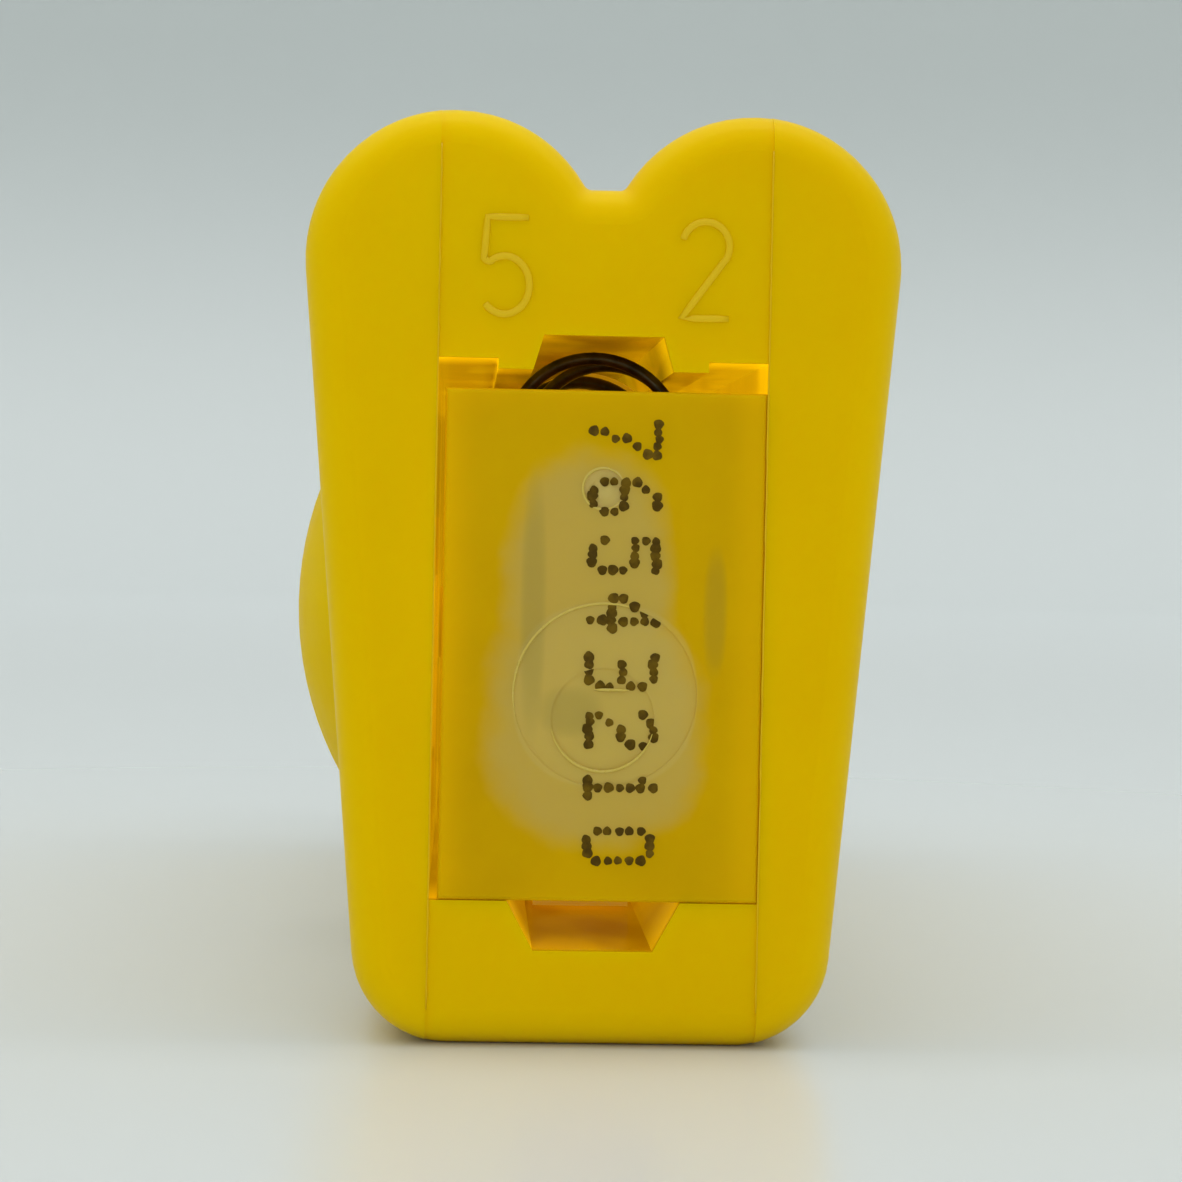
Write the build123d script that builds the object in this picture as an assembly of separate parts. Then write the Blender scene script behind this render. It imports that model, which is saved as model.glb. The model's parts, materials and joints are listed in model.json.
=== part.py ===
from build123d import *
from math import asin, cos, degrees, hypot, radians, sin, sqrt, tan
import os

# A single-use, button-fired safety lancet, as sold: armed, with its needle cap on.
# It stands on its narrow foot. The open end of the housing faces -Y, the needle
# leaves towards +Y, the release button is on the -X flank, and +Z is up.
# The origin is the middle of the foot. All sizes are millimetres.

# Housing: one moulded sleeve whose outline is two lobes over a narrower foot.
BODY_LENGTH = 49.0
LOBE_X, LOBE_Z, LOBE_RADIUS = 4.0, 21.0, 4.0
FOOT_X, FOOT_RADIUS = 3.85, 2.6
VALLEY_Z = 22.95
VALLEY_FILLET = 0.25
REAR_EDGE_FILLET = 1.0
FRONT_EDGE_FILLET = 1.4
STRIP_HALF_WIDTH = 4.42
STRIP_STEP = 0.07
NOSE_RING_RADIUS, NOSE_RING_HEIGHT = 4.9, 0.8
NOSE_DISH_RADIUS = 14.0
FRONT_WALL = 2.0
APERTURE_RADIUS = 2.15
THUMB_DISH_RADIUS, THUMB_DISH_DEPTH = 26.0, 0.7

# Tunnel through the housing, with a keyway above for the spring and one below
# for the carriage's foot.
TUNNEL_HALF_WIDTH = 4.4
TUNNEL_FLOOR, TUNNEL_CEILING = 3.93, 18.36
CEILING_RIB_Z, CEILING_RIB_X = 18.08, 2.8
TOP_KEY_MOUTH, TOP_KEY_END, TOP_KEY_Z = 1.87, 1.6, 19.0
FOOT_KEY_MOUTH, FOOT_KEY_END, FOOT_KEY_Z = 2.31, 1.6, 2.61

# Needle line: spring, carriage barrel, hub, needle and cap share it.
LINE_Z = 16.15
STROKE = 7.5
NEEDLE_RADIUS = 0.4
NEEDLE_DEPTH = 1.8
BEVEL_ANGLE = 20.0

# End block: the clear plastic plug that closes the open end.
BLOCK_X0, BLOCK_X1 = -4.17, 4.39
BLOCK_Z0, BLOCK_Z1 = 3.94, 17.55
BLOCK_PLATE = 1.6
BLOCK_INSET = 0.05
SEAT_Y = -20.5
POST_RADIUS, POST_LENGTH, POST_FLAT_Z = 1.5, 3.0, 17.2
BOSS_X, BOSS_Z, BOSS_RADIUS, BOSS_BORE = 0.2, 9.45, 2.45, 1.4
BOSS_END_Y = -17.3
EJECTOR_MARK_X, EJECTOR_MARK_Z, EJECTOR_MARK_RADIUS = 0.15, 8.8, 1.38
GATE_MARK_X, GATE_MARK_Z, GATE_MARK_RADIUS = 0.05, 14.95, 0.55
MARK_DEPTH = 0.06
BOSS_MARK_DEPTH = 0.03
BLOCK_RIM = 0.12
LEG_LOW_Z, LEG_HIGH_Z, LEG_HEIGHT = 5.0, 12.5, 1.6
LEFT_LEG_X1, LEFT_LEG_Y1 = -2.3, -8.2
RIGHT_LEG_X0, RIGHT_LEG_Y1 = 2.6, -14.0
BARB_REACH, BARB_LENGTH = 0.4, 1.6
POCKET_CLEARANCE = 0.12

# Springs: mean radius, wire diameter and number of turns.
DRIVE_SPRING = (2.42, 0.36, 4.5)
RETURN_SPRING = (2.43, 0.28, 9.5)
BUTTON_SPRING = (3.2, 0.25, 2.25)
SPRING_GAP = 0.01

# Carriage that carries the needle hub.
BARREL_RADIUS, BARREL_Y0, BARREL_Y1 = 2.5, -11.5, 8.0
WEB_HALF_WIDTH, WEB_Y0, WEB_Y1, WEB_TOP = 0.9, -16.0, 13.0, 13.3
RAIL_HALF_WIDTH, RAIL_Z0, RAIL_Z1 = 1.4, 2.75, 4.6
WING_X, WING_Z0, WING_Z1, WING_Y0 = 4.2, 8.8, 10.2, 2.0
TAIL_DISC_RADIUS, TAIL_DISC_Y0, TAIL_DISC_Y1 = 2.1, -16.9, -15.8
TOOTH_X, TOOTH_Y0, TOOTH_Y1 = -2.15, -15.8, -14.7
TOOTH_Z0, TOOTH_Z1 = 7.2, 12.0

# Needle hub, its breakaway neck and the cap moulded on it.
HUB_RADIUS, HUB_Y0 = 1.6, -4.8
COLLAR_RADIUS, COLLAR_Y1 = 1.3, 8.6
NECK_RADIUS, NECK_Y1 = 0.8, 9.1
CAP_BORE_RADIUS, CAP_BORE_Y1 = 0.47, 19.6
STEM_RADIUS, STEM_Y1 = 1.9, 26.0
CAP_DISC_RADIUS, CAP_DISC_Y1 = 3.6, 27.2
PADDLE_THICKNESS, PADDLE_HEIGHT, PADDLE_Y1 = 2.4, 9.0, 34.5
PADDLE_CORNER = 2.2
RIB_COUNT, RIB_PITCH, RIB_WIDTH, RIB_REACH = 4, 1.5, 0.7, 0.35

# Release button, square to the tapered flank.
BUTTON_Y, BUTTON_Z = -2.5, 10.35
BUTTON_RADIUS, BUTTON_RISE, BUTTON_SKIRT = 6.5, 2.0, 0.6
WELL_RADIUS, WELL_DEPTH = 6.62, 1.75
POCKET_RADIUS, POCKET_DEPTH = 3.75, 0.4
BUTTON_STEM_RADIUS, STEM_HOLE_RADIUS = 1.2, 1.3
CLIP_RADIUS, CLIP_START, CLIP_END = 1.6, 3.0, 3.25
BUTTON_TIP_GAP = 0.05

# Latch lever between the button and the carriage, on an upright pin.
LATCH_X, LATCH_Y = -3.2, -9.5
LATCH_Z0, LATCH_Z1 = 6.9, 12.3
LATCH_THICKNESS = 0.9
LATCH_EYE_RADIUS = 0.95
LATCH_TAIL_Y, LATCH_HOOK_Y = -1.0, -14.65
LATCH_HOOK_LENGTH = 0.85
LATCH_ARM_X, LATCH_NOSE_X = -2.8, -2.25
LATCH_PAD, LATCH_PAD_WIDTH = 0.2, 2.0
PIN_RADIUS, PIN_CLEARANCE = 0.5, 0.02
PIN_MARGIN = 0.4

REAR_Y, NOSE_Y = -BODY_LENGTH / 2, BODY_LENGTH / 2
FACE_Y = NOSE_Y - NOSE_RING_HEIGHT
TUNNEL_END_Y = FACE_Y - FRONT_WALL
BLOCK_Y0 = REAR_Y + BLOCK_INSET
BLOCK_Y1 = BLOCK_Y0 + BLOCK_PLATE
NEEDLE_TIP_Y = NOSE_Y + NEEDLE_DEPTH - STROKE
NEEDLE_Y0 = HUB_Y0 + 1.5

# The flank is the common tangent of a lobe and a foot corner.
FLANK_RUN = hypot(LOBE_X - FOOT_X, LOBE_Z - FOOT_RADIUS)
FLANK_TILT = asin((LOBE_RADIUS - FOOT_RADIUS) / FLANK_RUN) + asin((LOBE_X - FOOT_X) / FLANK_RUN)


def flank_x(z):
    """Half width of the housing at height z, on its straight flank."""
    from_lobe = LOBE_RADIUS / cos(FLANK_TILT) - (LOBE_Z - z) * tan(FLANK_TILT)
    return LOBE_X + from_lobe


def across(y):
    """A drawing plane at y whose own axes are X and Z."""
    return Plane(origin=(0, y, 0), x_dir=(1, 0, 0), z_dir=(0, -1, 0))


def along(outline, y0, y1):
    """Extrude an X-Z outline from y0 to y1."""
    return extrude(across(y0) * outline, amount=y0 - y1)


def slab(x0, x1, y0, y1, z0, z1):
    """A box given by its six faces."""
    middle = ((x0 + x1) / 2, (y0 + y1) / 2, (z0 + z1) / 2)
    return Pos(*middle) * Box(abs(x1 - x0), abs(y1 - y0), abs(z1 - z0))


def rod(radius, y0, y1, x=0.0, z=LINE_Z):
    """A round bar along Y."""
    return along(Pos(x, z) * Circle(radius), y0, y1)


BUTTON_PLANE = Plane(
    origin=(-flank_x(BUTTON_Z), BUTTON_Y, BUTTON_Z),
    x_dir=(0, 1, 0),
    z_dir=(-cos(FLANK_TILT), 0, -sin(FLANK_TILT)),
)


def disc(radius, z0, z1):
    """A disc on the button's axis, from z0 to z1 measured outwards from the flank."""
    return BUTTON_PLANE * Pos(0, 0, (z0 + z1) / 2) * Cylinder(radius, z1 - z0)


def coil(size, y0, y1):
    """A compression spring on the needle line that just fits between y0 and y1."""
    radius, wire, turns = size
    start = y0 + wire / 2 + SPRING_GAP
    length = y1 - y0 - wire - 2 * SPRING_GAP
    path = Helix(length / turns, length, radius, center=(0, start, LINE_Z), direction=(0, 1, 0))
    section = Plane(origin=path @ 0, z_dir=path % 0) * Circle(wire / 2)
    return sweep(section, path, is_frenet=True)


# ---- housing ----


def body_outline():
    """The end view of the housing: two lobes and a valley over a rounded foot."""
    lobes = [Pos(side * LOBE_X, LOBE_Z) * Circle(LOBE_RADIUS) for side in (-1, 1)]
    corners = [Pos(side * FOOT_X, FOOT_RADIUS) * Circle(FOOT_RADIUS) for side in (-1, 1)]
    outline = make_hull([edge for circle in lobes + corners for edge in circle.edges()])
    notch = Pos(0, VALLEY_Z + LOBE_RADIUS / 2) * Rectangle(2 * LOBE_X, LOBE_RADIUS)
    notch -= lobes[0]
    notch -= lobes[1]
    outline -= notch
    bottom_of_valley = [v for v in outline.vertices() if abs(v.Y - VALLEY_Z) < 1e-6]
    return fillet(bottom_of_valley, VALLEY_FILLET)


def body_block(rear_y):
    """The solid housing with rounded ends, starting at rear_y."""
    block = along(body_outline(), rear_y, FACE_Y)
    ends = block.faces().sort_by(Axis.Y)
    block = fillet(ends[0].edges(), REAR_EDGE_FILLET)
    front = block.faces().sort_by(Axis.Y)[-1]
    return fillet(front.edges(), FRONT_EDGE_FILLET)


def tunnel_outline():
    """The tunnel's section: a rectangle with a keyway above and below."""
    right = [
        (0, TOP_KEY_Z),
        (TOP_KEY_END, TOP_KEY_Z),
        (TOP_KEY_MOUTH, CEILING_RIB_Z),
        (CEILING_RIB_X, CEILING_RIB_Z),
        (CEILING_RIB_X, TUNNEL_CEILING),
        (TUNNEL_HALF_WIDTH, TUNNEL_CEILING),
        (TUNNEL_HALF_WIDTH, TUNNEL_FLOOR),
        (FOOT_KEY_MOUTH, TUNNEL_FLOOR),
        (FOOT_KEY_END, FOOT_KEY_Z),
        (0, FOOT_KEY_Z),
    ]
    left = [(-x, z) for x, z in reversed(right[1:-1])]
    return make_face(Polyline(*right, *left, close=True))


def make_housing():
    top = 2 * LOBE_Z
    strip = slab(-STRIP_HALF_WIDTH, STRIP_HALF_WIDTH, 2 * REAR_Y, 2 * NOSE_Y, -1, top)
    body = (body_block(REAR_Y) - strip) + (body_block(REAR_Y + STRIP_STEP) & strip)

    ring = fillet(rod(NOSE_RING_RADIUS, FACE_Y - 1, NOSE_Y).edges().sort_by(Axis.Y)[-1], 0.5)
    body += ring
    dish_y = NOSE_Y + sqrt(NOSE_DISH_RADIUS**2 - (NOSE_RING_RADIUS - 1) ** 2)
    body -= Pos(0, dish_y, LINE_Z) * Sphere(NOSE_DISH_RADIUS)
    body -= rod(APERTURE_RADIUS, TUNNEL_END_Y - 1, NOSE_Y + 1)
    body -= along(tunnel_outline(), REAR_Y - 1, TUNNEL_END_Y)

    for z in (LEG_LOW_Z, LEG_HIGH_Z):
        body -= slab(
            TUNNEL_HALF_WIDTH - 0.5,
            BLOCK_X1 + BARB_REACH + POCKET_CLEARANCE,
            RIGHT_LEG_Y1 - BARB_LENGTH - POCKET_CLEARANCE,
            RIGHT_LEG_Y1 + POCKET_CLEARANCE,
            z - POCKET_CLEARANCE,
            z + LEG_HEIGHT + POCKET_CLEARANCE,
        )

    body -= disc(WELL_RADIUS, -WELL_DEPTH, 2)
    body -= disc(STEM_HOLE_RADIUS, -2 * WELL_DEPTH, 0)
    thumb_x = flank_x(BUTTON_Z) - THUMB_DISH_DEPTH + THUMB_DISH_RADIUS
    body -= Pos(thumb_x, BUTTON_Y, BUTTON_Z) * Sphere(THUMB_DISH_RADIUS)
    return body


# ---- end block, with the spring seat and the latch's legs ----


def make_end_block():
    plate = slab(BLOCK_X0, BLOCK_X1, BLOCK_Y0, BLOCK_Y1, BLOCK_Z0, BLOCK_Z1)
    plate = fillet(plate.faces().sort_by(Axis.Y)[0].edges(), BLOCK_RIM)
    mark_y = BLOCK_Y0 + MARK_DEPTH
    plate -= rod(BOSS_RADIUS, BLOCK_Y0 - 1, BLOCK_Y0 + BOSS_MARK_DEPTH, BOSS_X, BOSS_Z)
    plate -= rod(EJECTOR_MARK_RADIUS, BLOCK_Y0 - 1, mark_y, EJECTOR_MARK_X, EJECTOR_MARK_Z)
    plate -= rod(GATE_MARK_RADIUS, BLOCK_Y0 - 1, mark_y, GATE_MARK_X, GATE_MARK_Z)
    plate += rod(GATE_MARK_RADIUS / 2, mark_y - MARK_DEPTH / 2, mark_y + 0.1, GATE_MARK_X, GATE_MARK_Z)

    block = plate + slab(-2.6, 2.6, BLOCK_Y1 - 0.1, SEAT_Y, LEG_HIGH_Z + 1.1, BLOCK_Z1)
    post = rod(POST_RADIUS, SEAT_Y - 0.1, SEAT_Y + POST_LENGTH)
    block += post & slab(-3, 3, SEAT_Y - 1, SEAT_Y + 9, 0, POST_FLAT_Z)
    block += rod(BOSS_RADIUS, BLOCK_Y1 - 0.1, BOSS_END_Y, BOSS_X, BOSS_Z)
    block -= rod(BOSS_BORE, BLOCK_Y1, BOSS_END_Y + 1, BOSS_X, BOSS_Z)

    for z in (LEG_LOW_Z, LEG_HIGH_Z):
        top = z + LEG_HEIGHT
        block += slab(BLOCK_X0, LEFT_LEG_X1, BLOCK_Y1 - 0.1, LEFT_LEG_Y1, z, top)
        block += slab(RIGHT_LEG_X0, BLOCK_X1, BLOCK_Y1 - 0.1, RIGHT_LEG_Y1, z, top)
        barb = Polyline(
            (BLOCK_X1 - 0.1, RIGHT_LEG_Y1 - BARB_LENGTH),
            (BLOCK_X1 + BARB_REACH, RIGHT_LEG_Y1 - BARB_LENGTH),
            (BLOCK_X1, RIGHT_LEG_Y1),
            (BLOCK_X1 - 0.1, RIGHT_LEG_Y1),
            close=True,
        )
        block += extrude(Pos(0, 0, z) * make_face(barb), amount=LEG_HEIGHT)
    return block - pin_bar(PIN_RADIUS)


# ---- latch ----


def pin_bar(radius):
    """The latch pin's own length at any radius."""
    z0 = LEG_LOW_Z + PIN_MARGIN
    z1 = LEG_HIGH_Z + LEG_HEIGHT - PIN_MARGIN
    return Pos(LATCH_X, LATCH_Y, (z0 + z1) / 2) * Cylinder(radius, z1 - z0)


def make_latch():
    half = LATCH_THICKNESS / 2
    height = LATCH_Z1 - LATCH_Z0
    z = LATCH_Z0
    eye = Pos(LATCH_X, LATCH_Y, z + height / 2) * Cylinder(LATCH_EYE_RADIUS, height)
    tail = slab(LATCH_X - half, LATCH_X + half, LATCH_Y, LATCH_TAIL_Y, z, LATCH_Z1)
    tail -= slab(
        LATCH_X - 2, LATCH_X - half + LATCH_PAD, LATCH_Y + 1, BUTTON_Y - LATCH_PAD_WIDTH / 2, z, LATCH_Z1
    )
    arm = slab(LATCH_ARM_X - half, LATCH_ARM_X + half, LATCH_Y, LATCH_HOOK_Y, z, LATCH_Z1)
    nose = slab(
        LATCH_ARM_X, LATCH_NOSE_X, LATCH_HOOK_Y, LATCH_HOOK_Y + LATCH_HOOK_LENGTH, z, LATCH_Z1
    )
    return eye + tail + arm + nose - pin_bar(PIN_RADIUS + PIN_CLEARANCE)


# ---- carriage, hub, needle, neck and cap ----


def make_carriage():
    barrel = rod(BARREL_RADIUS, BARREL_Y0, BARREL_Y1)
    body = barrel + rod(POST_RADIUS, BARREL_Y0 - POST_LENGTH, BARREL_Y0 + 0.1)
    body += slab(-WEB_HALF_WIDTH, WEB_HALF_WIDTH, WEB_Y0, WEB_Y1, RAIL_Z1 - 0.1, WEB_TOP)
    body += slab(-WEB_HALF_WIDTH, WEB_HALF_WIDTH, BARREL_Y0, BARREL_Y1, WEB_TOP - 0.1, LINE_Z - 2.2)
    body += slab(-RAIL_HALF_WIDTH, RAIL_HALF_WIDTH, WEB_Y0, WEB_Y1, RAIL_Z0, RAIL_Z1)
    body += slab(-WING_X, WING_X, WING_Y0, WEB_Y1, WING_Z0, WING_Z1)
    body += rod(TAIL_DISC_RADIUS, TAIL_DISC_Y0, TAIL_DISC_Y1, 0, BOSS_Z)
    body += slab(TOOTH_X, 0, TOOTH_Y0, TOOTH_Y1, TOOTH_Z0, TOOTH_Z1)
    window = slab(-2, 2, -12, 11, RAIL_Z1 + 1.2, WING_Z0 - 1.2)
    body -= fillet(window.edges().filter_by(Axis.X), 0.8)
    return body - rod(HUB_RADIUS, HUB_Y0, BARREL_Y1 + 1)


def make_hub():
    hub = rod(HUB_RADIUS, HUB_Y0, BARREL_Y1) + rod(COLLAR_RADIUS, BARREL_Y1, COLLAR_Y1)
    return hub - rod(NEEDLE_RADIUS, NEEDLE_Y0, COLLAR_Y1 + 1)


def make_needle():
    bar = rod(NEEDLE_RADIUS, NEEDLE_Y0, NEEDLE_TIP_Y)
    bevel = 2 * NEEDLE_RADIUS / tan(radians(BEVEL_ANGLE))
    edge = Polyline(
        (NEEDLE_TIP_Y + 0.01, LINE_Z - NEEDLE_RADIUS),
        (NEEDLE_TIP_Y - bevel, LINE_Z + NEEDLE_RADIUS),
        (NEEDLE_TIP_Y + 0.01, LINE_Z + NEEDLE_RADIUS + 1),
        close=True,
    )
    return bar - extrude(Plane.YZ * make_face(edge), amount=2, both=True)


def make_neck():
    return rod(NECK_RADIUS, COLLAR_Y1, NECK_Y1) - rod(CAP_BORE_RADIUS, COLLAR_Y1 - 1, NECK_Y1 + 1)


def make_cap():
    stem = rod(STEM_RADIUS, NECK_Y1, STEM_Y1 + 0.1)
    stem = chamfer(stem.edges().sort_by(Axis.Y)[0], 0.4)
    cap = stem + fillet(rod(CAP_DISC_RADIUS, STEM_Y1, CAP_DISC_Y1).edges(), 0.3)

    half, middle = PADDLE_HEIGHT / 2, PADDLE_THICKNESS / 2
    paddle = slab(-middle, middle, STEM_Y1 + 0.6, PADDLE_Y1, LINE_Z - half, LINE_Z + half)
    far_corners = paddle.edges().filter_by(Axis.X).sort_by(Axis.Y)[-2:]
    paddle = fillet(far_corners, PADDLE_CORNER)
    for side in (-1, 1):
        face = paddle.faces().sort_by(Axis.X)[0 if side < 0 else -1]
        paddle = fillet(face.edges(), 0.45)
    for index in range(RIB_COUNT):
        y = CAP_DISC_Y1 + 1.4 + index * RIB_PITCH
        reach = middle + RIB_REACH
        length = half - 1.6
        rib = slab(-reach, reach, y - RIB_WIDTH / 2, y + RIB_WIDTH / 2, LINE_Z - length, LINE_Z + length)
        paddle += chamfer(rib.edges().filter_by(Axis.Z), 0.2)
    cap += paddle
    return cap - rod(CAP_BORE_RADIUS, NECK_Y1 - 1, CAP_BORE_Y1)


# ---- release button ----


def make_button():
    dome_radius = (BUTTON_RADIUS**2 + BUTTON_RISE**2) / (2 * BUTTON_RISE)
    dome = BUTTON_PLANE * Pos(0, 0, BUTTON_RISE - dome_radius) * Sphere(dome_radius)
    button = disc(BUTTON_RADIUS, -BUTTON_SKIRT, BUTTON_RISE + 1) & dome
    button -= disc(POCKET_RADIUS, -BUTTON_SKIRT, -BUTTON_SKIRT + POCKET_DEPTH)

    tip = (flank_x(BUTTON_Z) + LATCH_X - LATCH_THICKNESS / 2 - BUTTON_TIP_GAP) / cos(FLANK_TILT)
    button += disc(BUTTON_STEM_RADIUS, -CLIP_END, 0)
    button += disc(CLIP_RADIUS, -CLIP_END, -CLIP_START)
    ball = BUTTON_PLANE * Pos(0, 0, BUTTON_STEM_RADIUS - tip) * Sphere(BUTTON_STEM_RADIUS)
    return button + (ball & disc(BUTTON_STEM_RADIUS, -tip - 1, -CLIP_END + 0.1))


def make_button_spring():
    """A conical spring between the floor of the well and the button's pocket."""
    radius, wire, turns = BUTTON_SPRING
    length = WELL_DEPTH - BUTTON_SKIRT + POCKET_DEPTH - wire - 2 * SPRING_GAP
    narrow = BUTTON_STEM_RADIUS + 0.8
    cone = degrees(asin((radius - narrow) / hypot(radius - narrow, length)))
    path = Helix(length / turns, length, radius, cone_angle=-cone)
    section = Plane(origin=path @ 0, z_dir=path % 0) * Circle(wire / 2)
    spring = sweep(section, path, is_frenet=True)
    return BUTTON_PLANE * Pos(0, 0, wire / 2 + SPRING_GAP - WELL_DEPTH) * spring


NODES = {
    "housing": make_housing,
    "end_block": make_end_block,
    "drive_spring": lambda: coil(DRIVE_SPRING, SEAT_Y, BARREL_Y0),
    "return_spring": lambda: coil(RETURN_SPRING, BARREL_Y1, TUNNEL_END_Y),
    "lancet_carriage": make_carriage,
    "needle_hub": make_hub,
    "needle": make_needle,
    "breakaway_neck": make_neck,
    "needle_cap": make_cap,
    "release_button": make_button,
    "button_spring": make_button_spring,
    "trigger_latch": make_latch,
    "latch_pin": lambda: pin_bar(PIN_RADIUS),
}

os.makedirs("parts", exist_ok=True)
for name, make in NODES.items():
    export_step(make(), f"parts/{name}.step")
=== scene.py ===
import json
import random
from math import cos, pi, radians, sin, tau

import bpy
from mathutils import Matrix, Vector


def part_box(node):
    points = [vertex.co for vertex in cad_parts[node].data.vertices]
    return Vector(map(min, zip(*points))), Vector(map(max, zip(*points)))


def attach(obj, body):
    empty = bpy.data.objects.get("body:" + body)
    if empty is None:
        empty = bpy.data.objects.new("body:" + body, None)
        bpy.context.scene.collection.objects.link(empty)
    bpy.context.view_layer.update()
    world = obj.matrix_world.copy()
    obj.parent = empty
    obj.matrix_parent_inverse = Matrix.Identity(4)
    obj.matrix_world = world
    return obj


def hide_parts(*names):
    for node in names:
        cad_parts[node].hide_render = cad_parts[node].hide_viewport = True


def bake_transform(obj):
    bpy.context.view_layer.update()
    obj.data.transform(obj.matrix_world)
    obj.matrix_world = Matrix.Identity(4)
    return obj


# A single-use safety lancet on a pale studio floor, seen from its open end.
# Everything is in metres, in the frame of the CAD model: the open end faces -Y.
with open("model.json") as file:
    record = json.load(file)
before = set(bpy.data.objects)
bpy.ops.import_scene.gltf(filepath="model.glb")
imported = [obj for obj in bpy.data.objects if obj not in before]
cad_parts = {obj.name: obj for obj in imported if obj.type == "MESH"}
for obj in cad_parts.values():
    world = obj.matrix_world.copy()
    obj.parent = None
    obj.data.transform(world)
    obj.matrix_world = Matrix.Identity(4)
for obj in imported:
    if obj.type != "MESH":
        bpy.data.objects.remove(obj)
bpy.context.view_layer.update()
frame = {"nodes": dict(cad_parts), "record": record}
MM = 0.001

# ---- places read from the CAD model ----
HOUSING_LOW, HOUSING_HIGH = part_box("housing")
BLOCK_LOW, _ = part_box("end_block")
DRIVE_LOW, DRIVE_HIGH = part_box("drive_spring")
RETURN_LOW, RETURN_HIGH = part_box("return_spring")
REAR_Y = HOUSING_LOW.y
NEEDLE_LINE_Z = (DRIVE_LOW.z + DRIVE_HIGH.z) / 2
STRIP_STEP = 0.07 * MM
STRIP_X = 4.42 * MM
BOSS_X, BOSS_Z, BOSS_RADIUS = 0.2 * MM, 9.45 * MM, 2.45 * MM
EJECTOR_X, EJECTOR_Z, EJECTOR_RADIUS = 0.15 * MM, 8.8 * MM, 1.38 * MM
GATE_X, GATE_Z, GATE_RADIUS = 0.05 * MM, 14.95 * MM, 0.55 * MM
MARK_DEPTH = 0.03 * MM

# ---- camera ----
YAW, PITCH, ROLL = radians(2.42), radians(1.32), radians(1.15)
LENS, SENSOR = 91.4, 36.0
CAMERA_DISTANCE = 81.0 * MM
FOOT_LEFT, FOOT_BELOW = 0.06 * MM, 12.2 * MM
EDGE_FILLET = 1.0 * MM


def add_camera():
    """The camera stands in front of the open end, turned a little to the right and down."""
    forward = Vector((sin(YAW) * cos(PITCH), cos(YAW) * cos(PITCH), -sin(PITCH)))
    right = forward.cross(Vector((0, 0, 1))).normalized()
    up = right.cross(forward)
    turn = Matrix.Rotation(-ROLL, 3, forward)
    right, up = turn @ right, turn @ up
    foot = Vector((0, REAR_Y + EDGE_FILLET, 0))
    place = foot + right * FOOT_LEFT + up * FOOT_BELOW - forward * CAMERA_DISTANCE
    camera = bpy.data.objects.new("camera", bpy.data.cameras.new("camera"))
    camera.matrix_world = Matrix((
        (right.x, up.x, -forward.x, place.x),
        (right.y, up.y, -forward.y, place.y),
        (right.z, up.z, -forward.z, place.z),
        (0, 0, 0, 1),
    ))
    camera.data.lens = LENS
    camera.data.sensor_width = SENSOR
    camera.data.clip_start = 0.001
    camera.data.clip_end = 5.0
    bpy.context.scene.collection.objects.link(camera)
    bpy.context.scene.camera = camera


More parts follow.
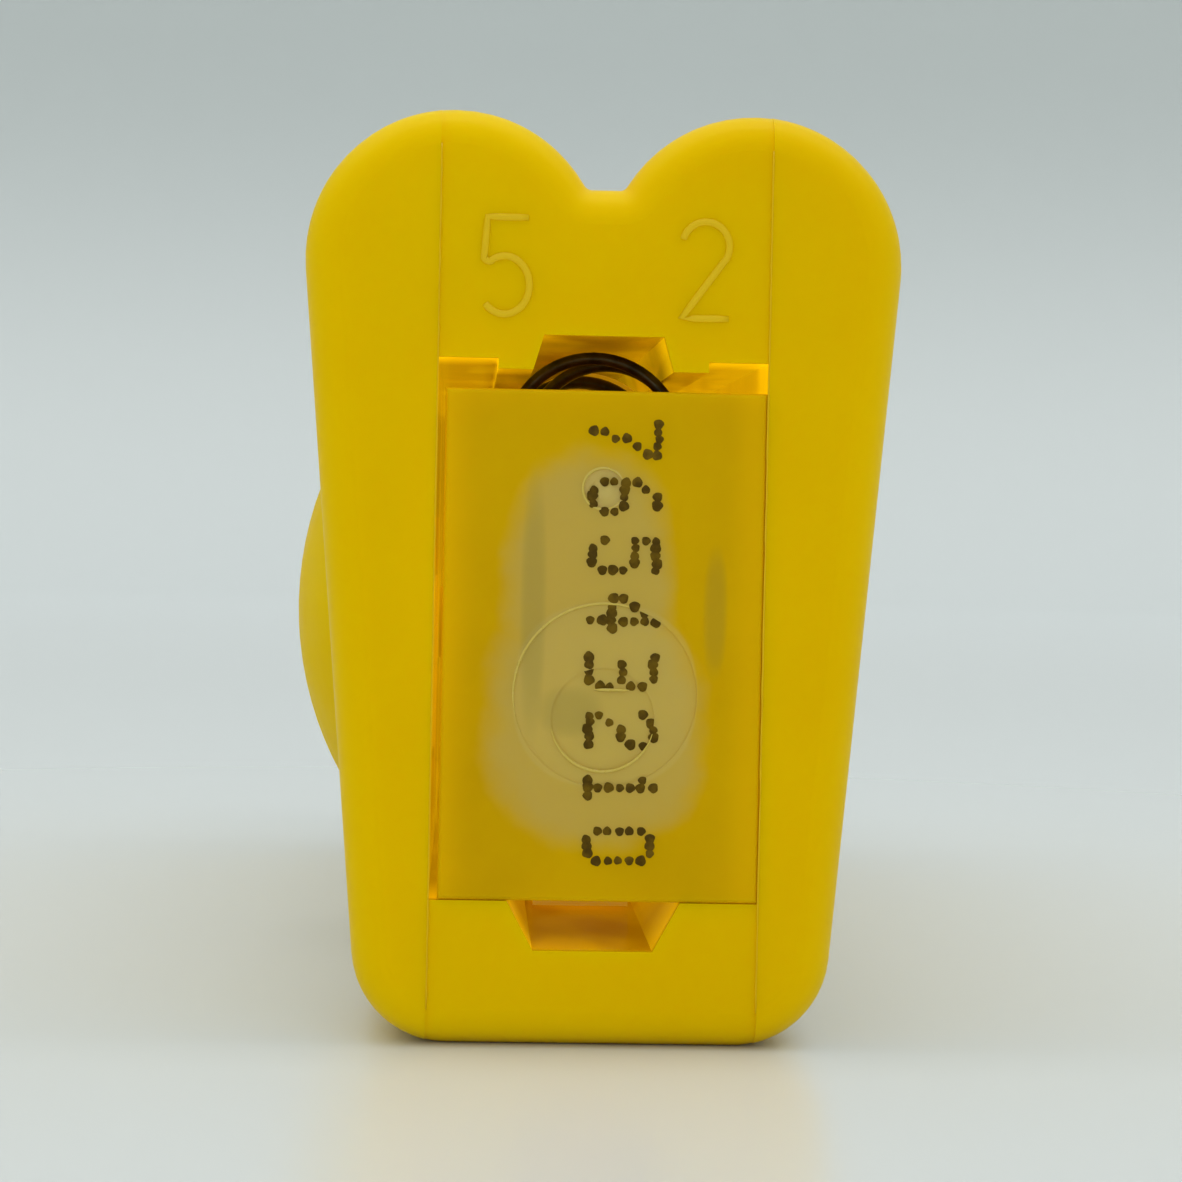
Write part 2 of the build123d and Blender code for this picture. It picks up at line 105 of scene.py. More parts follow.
# ---- node helpers ----
class Graph:
    """A material's node tree with short calls for the nodes used here."""

    def __init__(self, name):
        self.material = bpy.data.materials.new(name)
        self.material.use_nodes = True
        self.tree = self.material.node_tree
        self.shader = self.tree.nodes["Principled BSDF"]
        self.coords = self.tree.nodes.new("ShaderNodeTexCoord")

    def node(self, kind, **settings):
        made = self.tree.nodes.new(kind)
        for key, value in settings.items():
            setattr(made, key, value)
        return made

    def link(self, output, target):
        self.tree.links.new(output, target)

    def feed(self, target, value):
        """Link an output to a socket, or set a plain value on it."""
        if isinstance(value, bpy.types.NodeSocket):
            self.link(value, target)
        else:
            target.default_value = value

    def noise(self, scale, detail=4.0, roughness=0.55, stretch=(1, 1, 1), turn=0.0):
        """Cloudy noise, stretched and then turned about Y by a number of degrees."""
        mapping = self.node("ShaderNodeMapping")
        mapping.inputs["Scale"].default_value = stretch
        mapping.inputs["Rotation"].default_value = (0, radians(turn), 0)
        self.link(self.coords.outputs["Object"], mapping.inputs["Vector"])
        texture = self.node("ShaderNodeTexNoise")
        texture.inputs["Scale"].default_value = scale
        texture.inputs["Detail"].default_value = detail
        texture.inputs["Roughness"].default_value = roughness
        self.link(mapping.outputs["Vector"], texture.inputs["Vector"])
        return texture.outputs["Fac"]

    def remap(self, value, low, high, to_low=0.0, to_high=1.0):
        made = self.node("ShaderNodeMapRange", interpolation_type="SMOOTHSTEP")
        self.link(value, made.inputs["Value"])
        made.inputs["From Min"].default_value = low
        made.inputs["From Max"].default_value = high
        made.inputs["To Min"].default_value = to_low
        made.inputs["To Max"].default_value = to_high
        return made.outputs["Result"]

    def maths(self, operation, a, b=0.0):
        made = self.node("ShaderNodeMath", operation=operation)
        self.feed(made.inputs[0], a)
        self.feed(made.inputs[1], b)
        return made.outputs[0]

    def mix(self, amount, a, b):
        made = self.node("ShaderNodeMix", data_type="RGBA")
        self.feed(made.inputs["Factor"], amount)
        self.feed(made.inputs["A"], a)
        self.feed(made.inputs["B"], b)
        return made.outputs["Result"]

    def axes(self):
        """The object's own X, Y and Z, in metres."""
        split = self.node("ShaderNodeSeparateXYZ")
        self.link(self.coords.outputs["Object"], split.inputs["Vector"])
        return split.outputs["X"], split.outputs["Y"], split.outputs["Z"]

    def oval(self, x, z, half_x, half_z, soft, edge_noise=0.0):
        """1 inside an upright oval on the X-Z plane, fading to 0 across its soft rim."""
        own_x, _, own_z = self.axes()
        across = self.maths("DIVIDE", self.maths("SUBTRACT", own_x, x), half_x)
        upward = self.maths("DIVIDE", self.maths("SUBTRACT", own_z, z), half_z)
        reach = self.maths("ADD", self.maths("POWER", self.maths("ABSOLUTE", across), 2.4),
                           self.maths("POWER", self.maths("ABSOLUTE", upward), 2.4))
        if edge_noise:
            wobble = self.maths("SUBTRACT", self.noise(620, 3.0), 0.5)
            reach = self.maths("ADD", reach, self.maths("MULTIPLY", wobble, edge_noise))
        return self.remap(reach, 1 - soft, 1 + soft, 1.0, 0.0)

    def bump(self, height, distance, strength=1.0):
        made = self.node("ShaderNodeBump")
        made.inputs["Strength"].default_value = strength
        made.inputs["Distance"].default_value = distance
        self.link(height, made.inputs["Height"])
        self.link(made.outputs["Normal"], self.shader.inputs["Normal"])

    def set(self, **values):
        for key, value in values.items():
            self.feed(self.shader.inputs[key.replace("_", " ")], value)


def colour(red, green, blue):
    """An sRGB colour of 0 to 255 as the linear colour that nodes use."""
    def linear(value):
        share = value / 255
        return share / 12.92 if share <= 0.04045 else ((share + 0.055) / 1.055) ** 2.4
    return (linear(red), linear(green), linear(blue), 1.0)


# Where the painted shade and painted light inside the yellow plastic's tunnel start and stop: the low end
# of each soft edge, and the high.
TUNNEL_SIDE = (4.41 * MM, 4.45 * MM)
TUNNEL_MOUTH = (0.12 * MM, 0.5 * MM)
TUNNEL_FLOOR = (2.4 * MM, 2.5 * MM)
TUNNEL_ROOF = (19.02 * MM, 19.1 * MM)
TUNNEL_END = (21.9 * MM, 22.1 * MM)
CORNER_CELL = (2.6 * MM, 3.0 * MM)
KEYWAY_TOP = (3.9 * MM, 4.1 * MM)
PAINTED_LIGHT_FADE = 5 * MM
PAINTED_LIGHT_NEAR, PAINTED_LIGHT_FAR = 0.63, 0.22


def yellow_plastic(name="yellow_plastic", shine=0.08):
    """Satin moulded plastic that lets warm light through, with painted shade and painted light inside its
    tunnel.
    """
    g = Graph(name)
    x, y, z = g.axes()
    cloud = g.remap(g.noise(90, 3.0), 0.3, 0.7)
    skin = g.mix(cloud, colour(243, 201, 0), colour(239, 194, 0))
    # The tunnel's walls are polished. Their darker amber colour is painted shade, and emission is painted
    # light from outside.
    inside = g.maths("MULTIPLY", g.remap(g.maths("ABSOLUTE", x), *TUNNEL_SIDE, 1, 0),
                     g.remap(y, *(REAR_Y + depth for depth in TUNNEL_MOUTH)))
    inside = g.maths("MULTIPLY", inside, g.remap(z, *TUNNEL_FLOOR))
    inside = g.maths("MULTIPLY", inside, g.remap(z, *TUNNEL_ROOF, 1, 0))
    inside = g.maths("MULTIPLY", inside, g.remap(y, *TUNNEL_END, 1, 0))
    g.set(Base_Color=g.mix(inside, skin, colour(212, 158, 0)))
    # The painted light is strongest on the corner cells and the sloping sides, and weaker deeper in and
    # in the keyway. The rest has slanted streaks of painted reflection.
    facing = g.node("ShaderNodeSeparateXYZ")
    g.link(g.coords.outputs["Normal"], facing.inputs["Vector"])
    side = g.maths("MAXIMUM", g.remap(g.maths("ABSOLUTE", x), *CORNER_CELL),
                   g.remap(g.maths("ABSOLUTE", facing.outputs["X"]), 0.4, 0.7))
    depth = g.remap(y, REAR_Y, REAR_Y + PAINTED_LIGHT_FADE, PAINTED_LIGHT_NEAR, PAINTED_LIGHT_FAR)
    depth = g.maths("MULTIPLY", depth, g.remap(side, 0, 1, 0.85, 1.25))
    depth = g.maths("MULTIPLY", depth, g.remap(z, *KEYWAY_TOP, 0.6, 1.0))
    streak = g.remap(g.noise(330, 2.0, 0.5, stretch=(1, 0.4, 0.3), turn=40), 0.4, 0.6, 0.4, 1.4)
    streak = g.maths("MAXIMUM", streak, side)
    painted_light = g.maths("MULTIPLY", g.maths("MULTIPLY", inside, depth), streak)
    g.set(Emission_Color=g.mix(side, colour(200, 155, 0), colour(222, 180, 4)), Emission_Strength=painted_light)
    satin = g.remap(g.noise(700, 5.0), 0.25, 0.75, 0.34, 0.46)
    g.set(Roughness=g.maths("MULTIPLY", satin, g.remap(inside, 0, 1, 1.0, 0.35)))
    g.set(Subsurface_Weight=0.5, Subsurface_Scale=1.0, Specular_IOR_Level=shine, IOR=1.49)
    g.set(Specular_Tint=colour(255, 226, 60))
    g.shader.inputs["Subsurface Radius"].default_value = (1.2 * MM, 0.95 * MM, 0.05 * MM)
    grain = g.noise(5200, 6.0, 0.65)
    flow = g.noise(260, 3.0, 0.5, stretch=(1, 0.25, 1))
    g.bump(g.maths("ADD", grain, g.maths("MULTIPLY", flow, 1.5)), 0.006 * MM, 0.5)
    return g.material


def raised_yellow():
    """The same plastic for thin raised marks, with no light passing through it."""
    g = Graph("raised_yellow")
    g.set(Base_Color=g.mix(g.noise(400, 3.0), colour(240, 198, 0), colour(234, 190, 0)))
    g.set(Roughness=g.remap(g.noise(900, 4.0), 0.3, 0.7, 0.34, 0.44), Specular_IOR_Level=0.2)
    return g.material


# Ovals on the block's face: middle X and Z, then half the width and half the height.
FROST_UPPER = (-0.25 * MM, 12.4 * MM, 2.15 * MM, 3.3 * MM)
FROST_LOWER = (-0.1 * MM, 8.7 * MM, 2.8 * MM, 3.1 * MM)
SHADOW_LEFT = (-1.75 * MM, 11.8 * MM, 0.3 * MM, 3.0 * MM)
SHADOW_MIDDLE = (-0.7 * MM, 9.0 * MM, 0.75 * MM, 0.6 * MM)
SHADOW_RIGHT = (3.1 * MM, 11.7 * MM, 0.28 * MM, 1.5 * MM)
BLOCK_EDGE = (3.2 * MM, 4.1 * MM)


def natural_plastic():
    """Clear plastic, frosted where the parts behind press against it."""
    g = Graph("natural_plastic")
    x, _, _ = g.axes()
    upper = g.oval(*FROST_UPPER, 0.45, 0.9)
    lower = g.oval(*FROST_LOWER, 0.4, 0.9)
    boss = g.oval(BOSS_X, BOSS_Z, BOSS_RADIUS, BOSS_RADIUS, 0.05)
    frost = g.maths("MAXIMUM", upper, lower)
    tint = g.mix(g.remap(g.noise(180, 3.0), 0.3, 0.7), colour(221, 176, 0), colour(212, 166, 0))
    edge = g.remap(g.maths("ABSOLUTE", x), *BLOCK_EDGE, 0.0, 0.5)
    tint = g.mix(edge, tint, colour(236, 190, 0))
    tint = g.mix(g.maths("MULTIPLY", frost, 0.85), tint, colour(206, 176, 84))
    tint = g.mix(g.maths("MULTIPLY", boss, 0.3), tint, colour(214, 190, 108))
    bands = g.maths("ADD", g.oval(*SHADOW_LEFT, 0.9), g.oval(*SHADOW_MIDDLE, 0.9))
    bands = g.maths("ADD", bands, g.oval(*SHADOW_RIGHT, 0.9))
    tint = g.mix(g.maths("MULTIPLY", bands, 0.22), tint, colour(110, 108, 56))
    gate = g.oval(GATE_X, GATE_Z, GATE_RADIUS, GATE_RADIUS, 0.1)
    tint = g.mix(g.maths("MULTIPLY", gate, 0.5), tint, colour(226, 204, 128))
    g.set(Base_Color=tint)
    g.set(Roughness=g.remap(g.noise(900, 4.0), 0.3, 0.7, 0.3, 0.42))
    g.set(Subsurface_Weight=0.4, Subsurface_Scale=1.0, IOR=1.49, Specular_IOR_Level=0.1)
    g.set(Specular_Tint=colour(255, 236, 120))
    g.shader.inputs["Subsurface Radius"].default_value = (1.5 * MM, 1.2 * MM, 0.4 * MM)
    g.bump(g.noise(3000, 5.0, 0.6), 0.005 * MM, 0.5)
    return g.material


def painted_ridge_highlight():
    """The block's own plastic, paler and glossier on thin ridges: the paler colour is a painted
    highlight.
    """
    g = Graph("painted_ridge_highlight")
    g.set(Base_Color=g.mix(g.noise(500, 3.0), colour(216, 190, 84), colour(204, 176, 60)))
    g.set(Roughness=g.remap(g.noise(900, 4.0), 0.3, 0.7, 0.22, 0.34), Specular_IOR_Level=0.5)
    return g.material


LIT_END = (-11 * MM, -6 * MM)


def white_plastic():
    g = Graph("white_plastic")
    cloud = g.remap(g.noise(240, 3.0), 0.3, 0.7)
    g.set(Base_Color=g.mix(cloud, colour(232, 229, 214), colour(222, 218, 200)))
    # Painted light: emission gives the end by the open tunnel the warm light inside it.
    _, y, _ = g.axes()
    g.set(Emission_Color=colour(214, 152, 12), Emission_Strength=g.remap(y, *LIT_END, 0.34, 0.0))
    g.set(Roughness=g.remap(g.noise(900, 4.0), 0.3, 0.7, 0.38, 0.5))
    g.set(Subsurface_Weight=0.3, IOR=1.48)
    g.shader.inputs["Subsurface Radius"].default_value = (0.9 * MM, 0.8 * MM, 0.6 * MM)
    g.bump(g.noise(4200, 5.0, 0.6), 0.006 * MM, 0.5)
    return g.material


def cap_plastic():
    g = Graph("cap_plastic")
    cloud = g.remap(g.noise(320, 3.0), 0.3, 0.7)
    g.set(Base_Color=g.mix(cloud, colour(226, 227, 219), colour(212, 214, 205)))
    g.set(Roughness=g.remap(g.noise(1100, 4.0), 0.3, 0.7, 0.42, 0.56))
    g.set(Subsurface_Weight=0.6, IOR=1.5)
    g.shader.inputs["Subsurface Radius"].default_value = (1.6 * MM, 1.5 * MM, 1.2 * MM)
    g.bump(g.noise(3800, 5.0, 0.6), 0.008 * MM, 0.5)
    return g.material


def spring_steel():
    g = Graph("spring_steel")
    stain = g.remap(g.noise(1600, 4.0), 0.35, 0.7)
    g.set(Base_Color=g.mix(stain, colour(46, 48, 38), colour(78, 74, 54)), Metallic=0.85)
    g.set(Roughness=g.remap(g.noise(5200, 4.0), 0.3, 0.7, 0.28, 0.45))
    g.bump(g.noise(9000, 3.0, 0.6, stretch=(1, 0.2, 1)), 0.004 * MM, 0.4)
    return g.material


def needle_steel():
    g = Graph("needle_steel")
    streak = g.noise(4000, 4.0, 0.6, stretch=(1, 0.06, 1))
    g.set(Base_Color=g.mix(g.remap(streak, 0.3, 0.7), colour(205, 207, 208), colour(178, 180, 182)))
    g.set(Metallic=1.0, Roughness=g.remap(streak, 0.3, 0.7, 0.16, 0.28))
    g.bump(streak, 0.003 * MM, 0.4)
    return g.material


def ink():
    g = Graph("ink")
    g.set(Base_Color=g.mix(g.remap(g.noise(2600, 3.0), 0.35, 0.7), colour(80, 58, 0), colour(114, 86, 6)))
    g.set(Roughness=g.remap(g.noise(3000, 3.0), 0.3, 0.7, 0.55, 0.75), Specular_IOR_Level=0.12)
    g.bump(g.noise(6000, 4.0), 0.006 * MM, 0.6)
    return g.material


# ---- mesh helpers ----
def piece(name, verts, faces, material, body):
    """A smooth mesh with a finish slot. It rides on a body, unless body is None."""
    mesh = bpy.data.meshes.new(name)
    mesh.from_pydata([tuple(v) for v in verts], [], faces)
    mesh.validate()
    mesh.update()
    mesh.shade_smooth()
    mesh.materials.append(material)
    made = bpy.data.objects.new(name, mesh)
    bpy.context.scene.collection.objects.link(made)
    if body is not None:
        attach(made, body)
    return made


def tube_mesh(path, radius, sides=14):
    """Vertices and faces of a round bar along a path, with rounded-off ends."""
    verts, faces = [], []
    count = len(path)
    tangents = [(path[min(i + 1, count - 1)] - path[max(i - 1, 0)]).normalized() for i in range(count)]
    normal = tangents[0].orthogonal().normalized()
    for i, point in enumerate(path):
        normal = (normal - tangents[i] * normal.dot(tangents[i])).normalized()
        side = tangents[i].cross(normal)
        size = radius * (0.8 if i in (0, count - 1) else 1.0)
        for k in range(sides):
            turn = tau * k / sides
            verts.append(point + (normal * cos(turn) + side * sin(turn)) * size)
    for i in range(count - 1):
        for k in range(sides):
            a, b = i * sides + k, i * sides + (k + 1) % sides
            faces.append((a, b, b + sides, a + sides))
    faces.append(tuple(reversed(range(sides))))
    faces.append(tuple(range((count - 1) * sides, count * sides)))
    return verts, faces


def smoothstep(value):
    share = min(max(value, 0.0), 1.0)
    return share * share * (3 - 2 * share)


def slipped(sway, turn):
    """The sway at a number of turns, in metres, eased between the turns that it lists."""
    if not sway:
        return 0.0, 0.0, 0.0
    place = min(max(turn, 0.0), len(sway) - 1.001)
    first = int(place)
    share = smoothstep(place - first)
    return tuple((a + (b - a) * share) * MM for a, b in zip(sway[first], sway[first + 1]))


STEPS_PER_TURN = 56


def coil_path(y0, y1, radius, wire, turns, sway=(), steps=STEPS_PER_TURN):
    """A compression spring's wire along the needle line, with closed end turns.

    sway gives how far each turn has slipped sideways and up, and how much wider it is,
    from the near end on. A spring with sway also has an open near end.
    """
    open_share = []
    total = int(turns * steps)
    for i in range(total + 1):
        turn = i / steps
        near = 1.0 if sway else smoothstep((turn - 0.7) / 0.6)
        open_share.append(near * smoothstep((turns - 0.7 - turn) / 0.6))
    length = (y1 - y0) - wire
    closed = wire * 1.03
    extra = (length - closed * turns) / (sum(open_share) / steps)
    path, y = [], y0 + wire / 2
    for i, share in enumerate(open_share):
        turn = tau * i / steps
        slip_x, slip_z, wider = slipped(sway, i / steps - TOP_OF_TURN)
        x = slip_x + (radius + wider) * cos(turn)
        path.append(Vector((x, y, NEEDLE_LINE_Z + slip_z + (radius + wider) * sin(turn))))
        y += (closed + extra * share) / steps
    return path


# ---- pieces ----
# The armed drive spring bows a little: turn by turn, its slip to the right and up, and
# how much wider it is, in millimetres.
DRIVE_SWAY = ((-0.07, 0.08, 0.0), (0.4, 0.33, -0.32), (-0.3, -0.28, -0.1), (-0.2, -0.25, 0.0),
              (-0.2, -0.25, 0.0))
TOP_OF_TURN = 0.25
DRIVE_WIRE, DRIVE_TURNS = 0.36 * MM, 4.5
RETURN_WIRE, RETURN_TURNS = 0.28 * MM, 11.5


def add_springs(steel):
    for name, low, high, wire, turns, sway in (
        ("drive_spring", DRIVE_LOW, DRIVE_HIGH, DRIVE_WIRE, DRIVE_TURNS, DRIVE_SWAY),
        ("return_spring", RETURN_LOW, RETURN_HIGH, RETURN_WIRE, RETURN_TURNS, ()),
    ):
        radius = (high.x - low.x) / 2 - wire / 2
        path = coil_path(low.y, high.y, radius, wire, turns, sway)
        verts, faces = tube_mesh(path, wire / 2)
        spring = piece(name + "_coil", verts, faces, steel, None)
        if name == "drive_spring":
            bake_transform(spring)
        else:
            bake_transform(spring)
        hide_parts(name)


BUTTON_RISE = 2.0 * MM
BUTTON_COIL_START, BUTTON_COIL_END = 1.615 * MM, 0.335 * MM
BUTTON_COIL_WIDE, BUTTON_COIL_NARROW, BUTTON_COIL_WIRE = 3.2 * MM, 2.0 * MM, 0.25 * MM
BUTTON_COIL_TURNS = 2.25


def add_button_spring(steel):
    """The conical spring in the button's well."""
    joints = {joint["name"]: joint for joint in frame["record"]["behaviour"]["joints"]}
    inward = Vector(joints["button_press"]["axis"]).normalized()
    low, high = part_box("release_button")
    face = Vector((low.x + BUTTON_RISE * inward.x, (low.y + high.y) / 2, (low.z + high.z) / 2))
    start, end = face + inward * BUTTON_COIL_START, face + inward * BUTTON_COIL_END
    sideways = Vector((0, 1, 0))
    upward = sideways.cross(inward)
    steps = int(BUTTON_COIL_TURNS * STEPS_PER_TURN)
    path = []
    for i in range(steps + 1):
        share = i / steps
        turn = tau * BUTTON_COIL_TURNS * share
        radius = BUTTON_COIL_WIDE + (BUTTON_COIL_NARROW - BUTTON_COIL_WIDE) * share
        ring = (sideways * cos(turn) + upward * sin(turn)) * radius
        path.append(start + (end - start) * share + ring)
    verts, faces = tube_mesh(path, BUTTON_COIL_WIRE / 2)
    spring = piece("button_spring_coil", verts, faces, steel, None)
    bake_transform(spring)
    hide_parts("button_spring")


FONT = {
    "0": "01110 10001 10001 10001 10001 10001 01110",
    "1": "00100 01100 00100 00100 00100 00100 01110",
    "2": "01110 10001 00001 00110 01000 10000 11111",
    "3": "11110 00001 00001 01110 00001 00001 11110",
    "4": "00010 00110 01010 10010 11111 00010 00010",
    "5": "11111 10000 11110 00001 00001 10001 01110",
    "6": "00110 01000 10000 11110 10001 10001 01110",
    "7": "11111 00001 00010 00100 00100 01000 01000",
}
CODE = "76543210"
CODE_X, CODE_TOP_Z, CODE_PITCH = 0.64 * MM, 16.28 * MM, 1.549 * MM
DOT_ALONG, DOT_ACROSS, DOT_RADIUS = 0.285 * MM, 0.198 * MM, 0.135 * MM
DOT_HEIGHT = 0.012 * MM


def face_y(x, z):
    """Where the end block's face is at x, z: two round mould marks lie a little deeper."""
    y = BLOCK_LOW.y
    if (x - BOSS_X) ** 2 + (z - BOSS_Z) ** 2 < BOSS_RADIUS**2:
        y += MARK_DEPTH
    if (x - EJECTOR_X) ** 2 + (z - EJECTOR_Z) ** 2 < EJECTOR_RADIUS**2:
        y += MARK_DEPTH
    return y


def add_lot_code(material):
    """A generic row of dot-matrix digits, printed turned a quarter clockwise."""
    rng = random.Random(7)
    verts, faces = [], []
    sides = 16
    for index, letter in enumerate(CODE):
        middle_z = CODE_TOP_Z - index * CODE_PITCH
        for row, bits in enumerate(FONT[letter].split()):
            for column, bit in enumerate(bits):
                if bit == "0":
                    continue
                x = CODE_X + (3 - row) * DOT_ALONG + rng.gauss(0, 0.02) * MM
                z = middle_z + (2 - column) * DOT_ACROSS + rng.gauss(0, 0.015) * MM
                size = DOT_RADIUS * rng.uniform(0.82, 1.12)
                phase = rng.uniform(0, tau)
                first = len(verts)
                for ring, (share, lift) in enumerate(((1.0, 0.1), (0.8, 0.8), (0.35, 1.0))):
                    for k in range(sides):
                        turn = tau * k / sides
                        wave = 1 + 0.07 * sin(3 * turn + phase) + 0.04 * sin(5 * turn + 2 * phase)
                        reach = size * share * wave
                        dot_y = face_y(x, z) - DOT_HEIGHT * lift
                        verts.append((x + reach * cos(turn), dot_y, z + reach * sin(turn)))
                for ring in range(2):
                    for k in range(sides):
                        a = first + ring * sides + k
                        b = first + ring * sides + (k + 1) % sides
                        faces.append((a, b, b + sides, a + sides))
                faces.append(tuple(first + 2 * sides + k for k in range(sides)))
    return piece("lot_code", verts, faces, material, "housing")


FLASH_WIDTH = 0.09 * MM
RIDGE_WIDTH, RIDGE_DEPTH, RIDGE_SIDES = 0.08 * MM, 0.014 * MM, 10
# A short straight ridge on the block that carries a painted highlight line.
HIGHLIGHT_RIDGE_X, HIGHLIGHT_RIDGE_Z, HIGHLIGHT_RIDGE_LENGTH = -0.1 * MM, 9.6 * MM, 0.95 * MM
DIGIT_HEIGHT, DIGIT_WIDTH, DIGIT_STROKE = 2.7 * MM, 1.4 * MM, 0.19 * MM
DIGIT_X, DIGIT_Z = 2.65 * MM, 20.8 * MM


def arc(x, z, radius_x, radius_z, start, end, steps=20):
    """Points of an arc in digit units: the digit is 1 wide and 2 high."""
    angles = [radians(start + (end - start) * i / steps) for i in range(steps + 1)]
    return [(x + radius_x * cos(a), z + radius_z * sin(a)) for a in angles]


DIGIT_STROKES = {
    "5": [(0.42, 0.95), (-0.36, 0.95), (-0.42, 0.12)] + arc(-0.02, -0.38, 0.47, 0.57, 128, -140, 28),
    "2": arc(0.0, 0.47, 0.45, 0.48, 165, -28, 22) + [(-0.44, -0.95), (0.46, -0.95)],
}


def add_cavity_digit(letter, x, material):
    """A thin raised digit, moulded into the end face above the tunnel."""
    outline = DIGIT_STROKES[letter]
    strip_y = REAR_Y + STRIP_STEP
    path = []
    for (ax, az), (bx, bz) in zip(outline, outline[1:]):
        for i in range(4):
            share = i / 4
            path.append((ax + (bx - ax) * share, az + (bz - az) * share))
    path.append(outline[-1])
    points = [Vector((x + px * DIGIT_WIDTH, 0, DIGIT_Z + pz * DIGIT_HEIGHT / 2)) for px, pz in path]
    verts, faces = tube_mesh(points, DIGIT_STROKE / 2)
    verts = [Vector((v.x, strip_y + v.y * 0.45, v.z)) for v in verts]
    piece("cavity_digit_" + letter, verts, faces, material, "housing")


def add_flash_line(x, material, seed):
    """The thin flash left along one edge of the mould insert on the end face."""
    rng = random.Random(seed)
    low, high = EDGE_FILLET, HOUSING_HIGH.z - EDGE_FILLET
    steps = 60
    path = []
    for i in range(steps + 1):
        path.append(Vector((x + rng.gauss(0, 0.006) * MM, 0, low + (high - low) * i / steps)))
    sides = 10
    verts, faces = tube_mesh(path, FLASH_WIDTH / 2, sides)
    for ring in range(steps + 1):
        depth = 0.3 + 0.5 * rng.random()
        for k in range(sides):
            v = verts[ring * sides + k]
            verts[ring * sides + k] = Vector((v.x, REAR_Y + FLASH_WIDTH / 2 + v.y * depth, v.z))
    piece("flash_left" if x < 0 else "flash_right", verts, faces, material, "housing")


def add_ridge(name, points, material):
    """A low ridge on the clear block, thinning out at both ends."""
    verts, faces = tube_mesh(points, RIDGE_WIDTH / 2, RIDGE_SIDES)
    last = len(points) - 1
    for index, point in enumerate(points):
        size = 0.35 + 0.65 * smoothstep(min(index, last - index) / (0.25 * last))
        for k in range(RIDGE_SIDES):
            v = verts[index * RIDGE_SIDES + k]
            x, z = point.x + (v.x - point.x) * size, point.z + (v.z - point.z) * size
            verts[index * RIDGE_SIDES + k] = Vector((x, BLOCK_LOW.y + RIDGE_DEPTH + v.y * 0.6 * size, z))
    piece(name, verts, faces, material, "housing")


def ring_points(x, z, radius, start, end):
    """Points of the witness ring that a mould pin left, between two angles in degrees."""
    steps = 60
    angles = [radians(start + (end - start) * i / steps) for i in range(steps + 1)]
    return [Vector((x + radius * cos(a), 0, z + radius * sin(a))) for a in angles]


# ---- stage and light ----
STAGE_RADIUS, STAGE_CURVE, STAGE_TOP = 0.42, 0.14, 0.5


def add_stage():
    """A pale floor that turns up into a wall all round, like the inside of a light tent."""
    profile = [(0.0, 0.0)]
    profile += [(STAGE_RADIUS * i / 24, 0.0) for i in range(1, 25)]
    for i in range(1, 17):
        turn = pi / 2 * i / 16
        profile.append((STAGE_RADIUS + STAGE_CURVE * sin(turn), STAGE_CURVE * (1 - cos(turn))))
    profile.append((STAGE_RADIUS + STAGE_CURVE, STAGE_TOP))
    sides = 96
    verts = [(0, 0, 0)]
    for radius, z in profile[1:]:
        verts += [(radius * cos(tau * k / sides), radius * sin(tau * k / sides), z) for k in range(sides)]
    faces = [(0, 1 + k, 1 + (k + 1) % sides) for k in range(sides)]
    for ring in range(len(profile) - 2):
        for k in range(sides):
            a, b = 1 + ring * sides + k, 1 + ring * sides + (k + 1) % sides
            faces.append((a, a + sides, b + sides, b))
    mesh = bpy.data.meshes.new("stage")
    mesh.from_pydata(verts, [], faces)
    mesh.shade_smooth()
    g = Graph("stage")
    x, y, z = g.axes()
    reach = g.maths("SQRT", g.maths("ADD", g.maths("MULTIPLY", x, x), g.maths("MULTIPLY", y, y)))
    # The wall is a darker grey than the floor as painted shade, and the emission, strongest where the
    # floor turns up into the wall and fading higher up, is painted light.
    wall = g.remap(z, 0.02, 0.12)
    g.set(Base_Color=g.mix(wall, colour(228, 231, 228), colour(206, 211, 208)))
    painted_light = g.maths("MULTIPLY", g.remap(reach, 0.12, 0.42), g.remap(z, 0.0, 0.12, 0.12, 0.012))
    g.set(Emission_Color=colour(236, 243, 246), Emission_Strength=painted_light)
    g.set(Roughness=g.remap(reach, 0.05, 0.3, 0.27, 0.6), Specular_IOR_Level=0.8)
    mesh.materials.append(g.material)
    stage = bpy.data.objects.new("stage", mesh)
    bpy.context.scene.collection.objects.link(stage)


def add_light(name, place, target, size, power):
    data = bpy.data.lights.new(name, "AREA")
    data.shape = "RECTANGLE"
    data.size, data.size_y = size
    data.energy = power
    light = bpy.data.objects.new(name, data)
    light.location = place
    light.rotation_euler = (Vector(target) - Vector(place)).to_track_quat("-Z", "Y").to_euler()
    bpy.context.scene.collection.objects.link(light)


STRIP_SIZE, STRIP_POWER = (0.07, 0.30), 0.19
FILL_SIZE, FILL_POWER = (0.3, 0.2), 0.155
WORLD_STRENGTH = 0.865


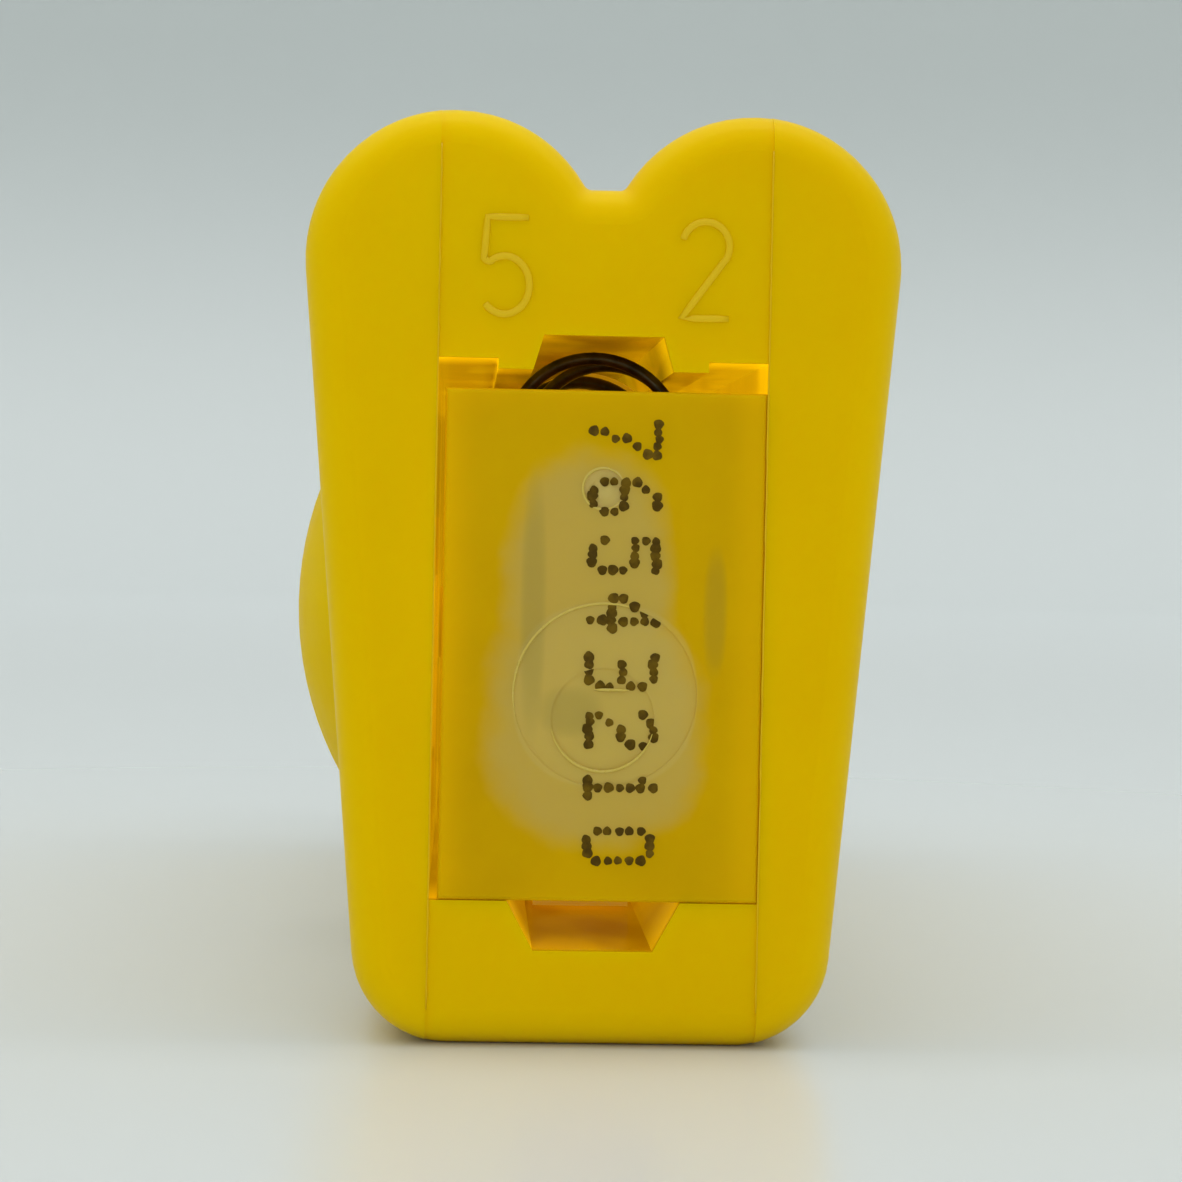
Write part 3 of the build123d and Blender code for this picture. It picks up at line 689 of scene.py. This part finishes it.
def add_lights():
    middle = (0, 0, 0.012)
    add_light("left_strip", (-0.10, -0.01, 0.34), middle, STRIP_SIZE, STRIP_POWER)
    add_light("right_strip", (0.10, -0.01, 0.34), middle, STRIP_SIZE, STRIP_POWER)
    add_light("front_fill", (0, -0.36, 0.16), middle, FILL_SIZE, FILL_POWER)
    world = bpy.data.worlds.new("tent")
    world.use_nodes = True
    background = world.node_tree.nodes["Background"]
    background.inputs["Color"].default_value = (0.93, 0.97, 1.0, 1)
    background.inputs["Strength"].default_value = WORLD_STRENGTH
    bpy.context.scene.world = world
    bpy.context.scene.view_settings.view_transform = "Standard"


# ---- build ----
add_camera()
STEEL = spring_steel()
BUTTON_YELLOW = yellow_plastic("button_yellow", 0.01)
FINISHES = {
    "yellow_plastic": yellow_plastic(),
    "natural_plastic": natural_plastic(),
    "white_plastic": white_plastic(),
    "cap_plastic": cap_plastic(),
    "spring_steel": STEEL,
    "needle_steel": needle_steel(),
}
for part in frame["record"]["subparts"]:
    node = frame["nodes"][part["node"]]
    node.data.materials.clear()
    finish = BUTTON_YELLOW if part["node"] == "release_button" else FINISHES[part["material_slot"]]
    node.data.materials.append(finish)

add_springs(STEEL)
add_button_spring(STEEL)
add_lot_code(ink())
RAISED = raised_yellow()
add_cavity_digit("5", -DIGIT_X, RAISED)
add_cavity_digit("2", DIGIT_X, RAISED)
add_flash_line(-STRIP_X, RAISED, 3)
add_flash_line(STRIP_X, RAISED, 4)
RIDGE_HIGHLIGHT = painted_ridge_highlight()
# Painted highlights: the witness rings are drawn only along their lit arcs, and the short straight ridge
# along a highlight line, all in the paler ridge finish.
add_ridge("boss_ring", ring_points(BOSS_X, BOSS_Z, BOSS_RADIUS, 55, 205), RIDGE_HIGHLIGHT)
add_ridge("ejector_ring", ring_points(EJECTOR_X, EJECTOR_Z, EJECTOR_RADIUS, 190, 345), RIDGE_HIGHLIGHT)
add_ridge("gate_ring", ring_points(GATE_X, GATE_Z, GATE_RADIUS, 20, 335), RIDGE_HIGHLIGHT)
add_ridge("short_highlight_ridge", [Vector((HIGHLIGHT_RIDGE_X + HIGHLIGHT_RIDGE_LENGTH * i / 20, 0, HIGHLIGHT_RIDGE_Z)) for i in range(21)], RIDGE_HIGHLIGHT)
add_stage()
add_lights()
